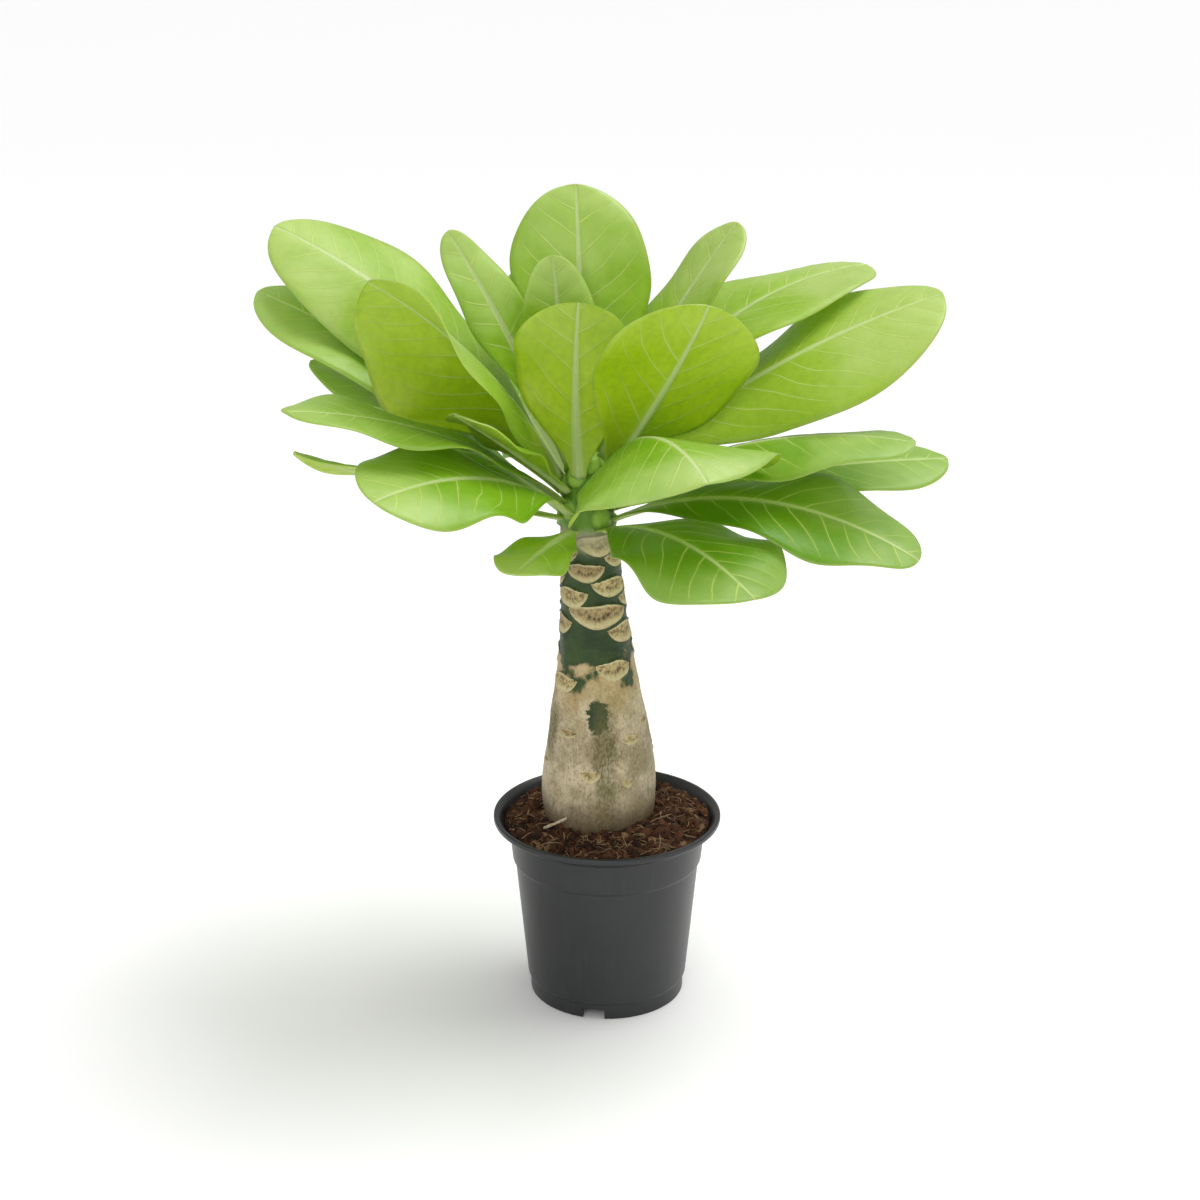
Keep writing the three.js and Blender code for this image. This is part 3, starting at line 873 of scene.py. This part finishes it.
def soilFinish(name, shaded):
    finish = Finish(name)
    place = finish.place()
    cloud = finish.noise(place, 120, 4)
    grit = finish.noise(place, 900, 4)
    bits = finish.cells(place, 500)
    colour = finish.mix(finish.between(cloud, 0.35, 0.68), (0.02, 0.007, 0.004), (0.09, 0.032, 0.014))
    if shaded:  # crumbs differ from one to the next
        shade = finish.attribute("shade")
        colour = finish.mix(finish.between(shade, 0.35, 0.9, 0.0, 0.7), colour, (0.16, 0.062, 0.028))
        colour = finish.mix(finish.between(shade, 0.94, 0.97, 0.0, 0.7), colour, (0.3, 0.19, 0.1))
    colour = finish.mix(finish.between(grit, 0.55, 0.8, 0.0, 0.5), colour, (0.16, 0.085, 0.04))
    finish.set(Base_Color=colour, Roughness=0.82 + 0.12 * cloud, Specular_IOR_Level=0.3)
    finish.set(Normal=finish.bump(grit * 1.2 + bits, 0.0009, 0.95))
    return finish


def fibreFinish():
    finish = Finish("coirFibre")
    place = finish.place()
    shade = finish.attribute("shade")
    streak = finish.noise(place, 700, 3)
    colour = finish.mix(shade, (0.13, 0.06, 0.028), (0.42, 0.28, 0.15))
    colour = finish.mix(finish.between(streak, 0.4, 0.7, 0.0, 0.4), colour, (0.09, 0.045, 0.02))
    finish.set(Base_Color=colour, Roughness=0.7 + 0.15 * streak, Normal=finish.bump(streak, 0.0002, 0.6))
    return finish


makeSoilBed()
makeCrumbs()
makeFibres()
print("soil made")


twig = {"radius": 0.95, "inset": 1.1, "sides": 14, "rows": 26}


def makeTwig():
    low, high = (Vector(corner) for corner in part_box("twig"))
    size, inset = high - low, twig["inset"] * mm
    sides, rows = twig["sides"], twig["rows"]
    points = []
    for k in range(rows + 1):
        t = k / rows
        thick = twig["radius"] * (0.72 + 0.28 * math.sin(math.pi * t)) + 0.12 * math.sin(9 * t)
        centre = Vector((low.x + size.x * (0.05 + 0.9 * t), high.y - inset - (size.y - 2 * inset) * t,
                         low.z + inset + (size.z - 2 * inset) * t ** 1.1))
        for j in range(sides):
            a = 2 * math.pi * j / sides
            grain = 1 + 0.16 * noise.noise(Vector((3 * math.cos(a), 3 * math.sin(a), t * 3)))
            points.append(centre + Vector((0, math.cos(a), math.sin(a))) * thick * grain * mm)
    finish = Finish("paleTwigWood")
    place = finish.place()
    streak = finish.noise(finish.stretched(place, 60, 900, 900), 1, 4)
    colour = finish.mix(finish.between(streak, 0.3, 0.7), (0.3, 0.22, 0.13), (0.62, 0.54, 0.4))
    finish.set(Base_Color=colour, Roughness=0.75 + 0.1 * streak, Normal=finish.bump(streak, 0.0003, 0.8))
    addPiece("twigOnSoil", points, ringFaces(rows + 1, sides), finish, ["twig"])


makeTwig()
print("twig made")


studio = {
    "cameraAway": 1154,
    "cameraHeight": 636,
    "cameraAside": -4,
    "cameraDown": 19.03,
    "lens": 66,
    "world": 0.58,
    "sun": 1.65,
    "sunFrom": (0.42, 0.1, 0.9),
    "sunAngle": 40,
    "target": (0, 0, 0.32),
    # name, place, size and power of each soft lamp
    "softboxes": [
        ("overheadSoftbox", (0.4, 0.5, 1.6), 1.0, 7),
        ("frontFill", (-0.5, -2.3, 1.4), 1.4, 17),
    ],
    "floorReach": 80,
    "floorColour": (0.97, 0.97, 0.97),
}


def makeFloor():
    floorMesh = bpy.data.meshes.new("studioFloor")
    reach = studio["floorReach"]
    floorMesh.from_pydata([(-reach, -reach, 0), (reach, -reach, 0), (reach, reach, 0), (-reach, reach, 0)],
                          [], [(0, 1, 2, 3)])
    floor = bpy.data.objects.new("studioFloor", floorMesh)
    scene.collection.objects.link(floor)
    finish = Finish("paleFloor")
    finish.set(Base_Color=studio["floorColour"], Roughness=0.6, Specular_IOR_Level=0.3)
    floorMesh.materials.append(finish.material)


def addLight(name, kind, place, towards):
    lamp = bpy.data.lights.new(name, kind)
    holder = bpy.data.objects.new(name, lamp)
    holder.location = place
    holder.rotation_euler = Vector(towards).to_track_quat("-Z", "Y").to_euler()
    scene.collection.objects.link(holder)
    return lamp


def makeStudio():
    world = bpy.data.worlds.new("studioWhite")
    world.use_nodes = True
    world.node_tree.nodes["Background"].inputs["Color"].default_value = (1, 1, 1, 1)
    world.node_tree.nodes["Background"].inputs["Strength"].default_value = studio["world"]
    scene.world = world
    sun = addLight("softSun", "SUN", (0, 0, 0), -Vector(studio["sunFrom"]))
    sun.energy = studio["sun"]
    sun.angle = math.radians(studio["sunAngle"])
    for name, place, size, power in studio["softboxes"]:
        lamp = addLight(name, "AREA", place, Vector(studio["target"]) - Vector(place))
        lamp.shape = "RECTANGLE"
        lamp.size = lamp.size_y = size
        lamp.energy = power
    camera = bpy.data.cameras.new("camera")
    camera.lens = studio["lens"]
    camera.sensor_width = 36
    camera.clip_end = 50
    holder = bpy.data.objects.new("camera", camera)
    holder.location = (potAxis.x + studio["cameraAside"] * mm, potAxis.y - studio["cameraAway"] * mm,
                       studio["cameraHeight"] * mm)
    holder.rotation_euler = (math.radians(90 - studio["cameraDown"]), 0, 0)
    scene.collection.objects.link(holder)
    scene.camera = holder
    scene.view_settings.view_transform = "Standard"


makeFloor()
makeStudio()
print("studio made")
